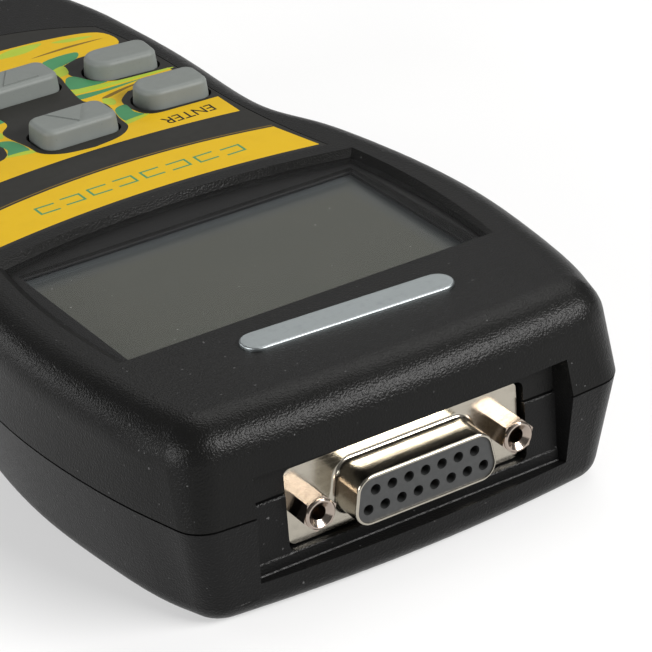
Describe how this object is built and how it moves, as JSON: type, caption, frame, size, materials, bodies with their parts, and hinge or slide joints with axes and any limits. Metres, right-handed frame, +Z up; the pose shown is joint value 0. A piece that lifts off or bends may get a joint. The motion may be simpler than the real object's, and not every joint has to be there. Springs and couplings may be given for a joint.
{
  "type": "vehicle diagnostic code reader",
  "caption": "Handheld code reader: rounded two-part case with a display window, rubber keys and a D connector in a front recess.",
  "frame": {"origin": "centre of the bounding box's bottom face: on the resting surface, under the middle of the part", "axes": "+X to the right seen from the connector end, +Y from the connector end to the handle end, +Z up through the display"},
  "size_m": [0.085, 0.172, 0.0352],
  "materials": {
    "case_plastic": "fine spark-eroded grain, black",
    "window_plastic": "clear acrylic, gloss",
    "foam": "matte black foam",
    "bezel_steel": "tinned sheet",
    "display_cell": "grey-green liquid crystal cell",
    "strip_rubber": "striped elastomer",
    "light_guide": "milky white",
    "board": "green solder mask",
    "gold": "gold-plated contact",
    "chip": "moulded epoxy",
    "crystal_can": "satin can",
    "capacitor_can": "aluminium can",
    "ceramic": "ceramic chip parts",
    "key_silicone": "satin grey silicone",
    "mat_silicone": "satin grey silicone",
    "carbon": "carbon-loaded rubber",
    "film_print": "printed polycarbonate film",
    "badge_metal": "silver foil under a clear dome",
    "label_print": "blank silver-grey label",
    "nickel": "nickel plate",
    "insulator": "dark grey thermoplastic",
    "zinc": "zinc-plated"
  },
  "bodies": {
    "body": {"top_shell": "case_plastic", "bottom_shell": "case_plastic", "rear_label": "label_print", "display_window": "window_plastic", "display_gasket": "foam", "display_bezel": "bezel_steel", "display_glass": "display_cell", "display_strips": "strip_rubber", "display_backlight": "light_guide", "main_board": "board", "key_pads": "gold", "microcontroller": "chip", "interface_chips": "chip", "memory_chip": "chip", "voltage_regulator": "chip", "crystal": "crystal_can", "capacitors": "capacitor_can", "chip_parts": "ceramic", "keypad_mat": "mat_silicone", "keypad_film": "film_print", "badge": "badge_metal", "connector_shell": "nickel", "connector_insulator": "insulator", "connector_contacts": "gold", "connector_brackets": "zinc", "jack_sockets": "nickel", "jack_nuts": "nickel", "case_screws": "zinc", "board_screws": "zinc"},
    "button_up": {"key_up": "key_silicone", "pill_up": "carbon"},
    "button_down": {"key_down": "key_silicone", "pill_down": "carbon"},
    "button_enter": {"key_enter": "key_silicone", "pill_enter": "carbon"},
    "button_menu": {"key_menu": "key_silicone", "pill_menu": "carbon"},
    "button_exit": {"key_exit": "key_silicone", "pill_exit": "carbon"},
    "button_help": {"key_help": "key_silicone", "pill_help": "carbon"}
  },
  "joints": [
    {"name": "press_up", "type": "slide", "parent": "body", "child": "button_up", "axis": [0, 0, -1], "range_m": [0, 0.001], "stiffness_N_per_m": 900, "springref_m": -0.0002},
    {"name": "press_down", "type": "slide", "parent": "body", "child": "button_down", "axis": [0, 0, -1], "range_m": [0, 0.001], "stiffness_N_per_m": 900, "springref_m": -0.0002},
    {"name": "press_enter", "type": "slide", "parent": "body", "child": "button_enter", "axis": [0, 0, -1], "range_m": [0, 0.001], "stiffness_N_per_m": 900, "springref_m": -0.0002},
    {"name": "press_menu", "type": "slide", "parent": "body", "child": "button_menu", "axis": [0, 0, -1], "range_m": [0, 0.001], "stiffness_N_per_m": 900, "springref_m": -0.0002},
    {"name": "press_exit", "type": "slide", "parent": "body", "child": "button_exit", "axis": [0, 0, -1], "range_m": [0, 0.001], "stiffness_N_per_m": 900, "springref_m": -0.0002},
    {"name": "press_help", "type": "slide", "parent": "body", "child": "button_help", "axis": [0, 0, -1], "range_m": [0, 0.001], "stiffness_N_per_m": 900, "springref_m": -0.0002}
  ]
}
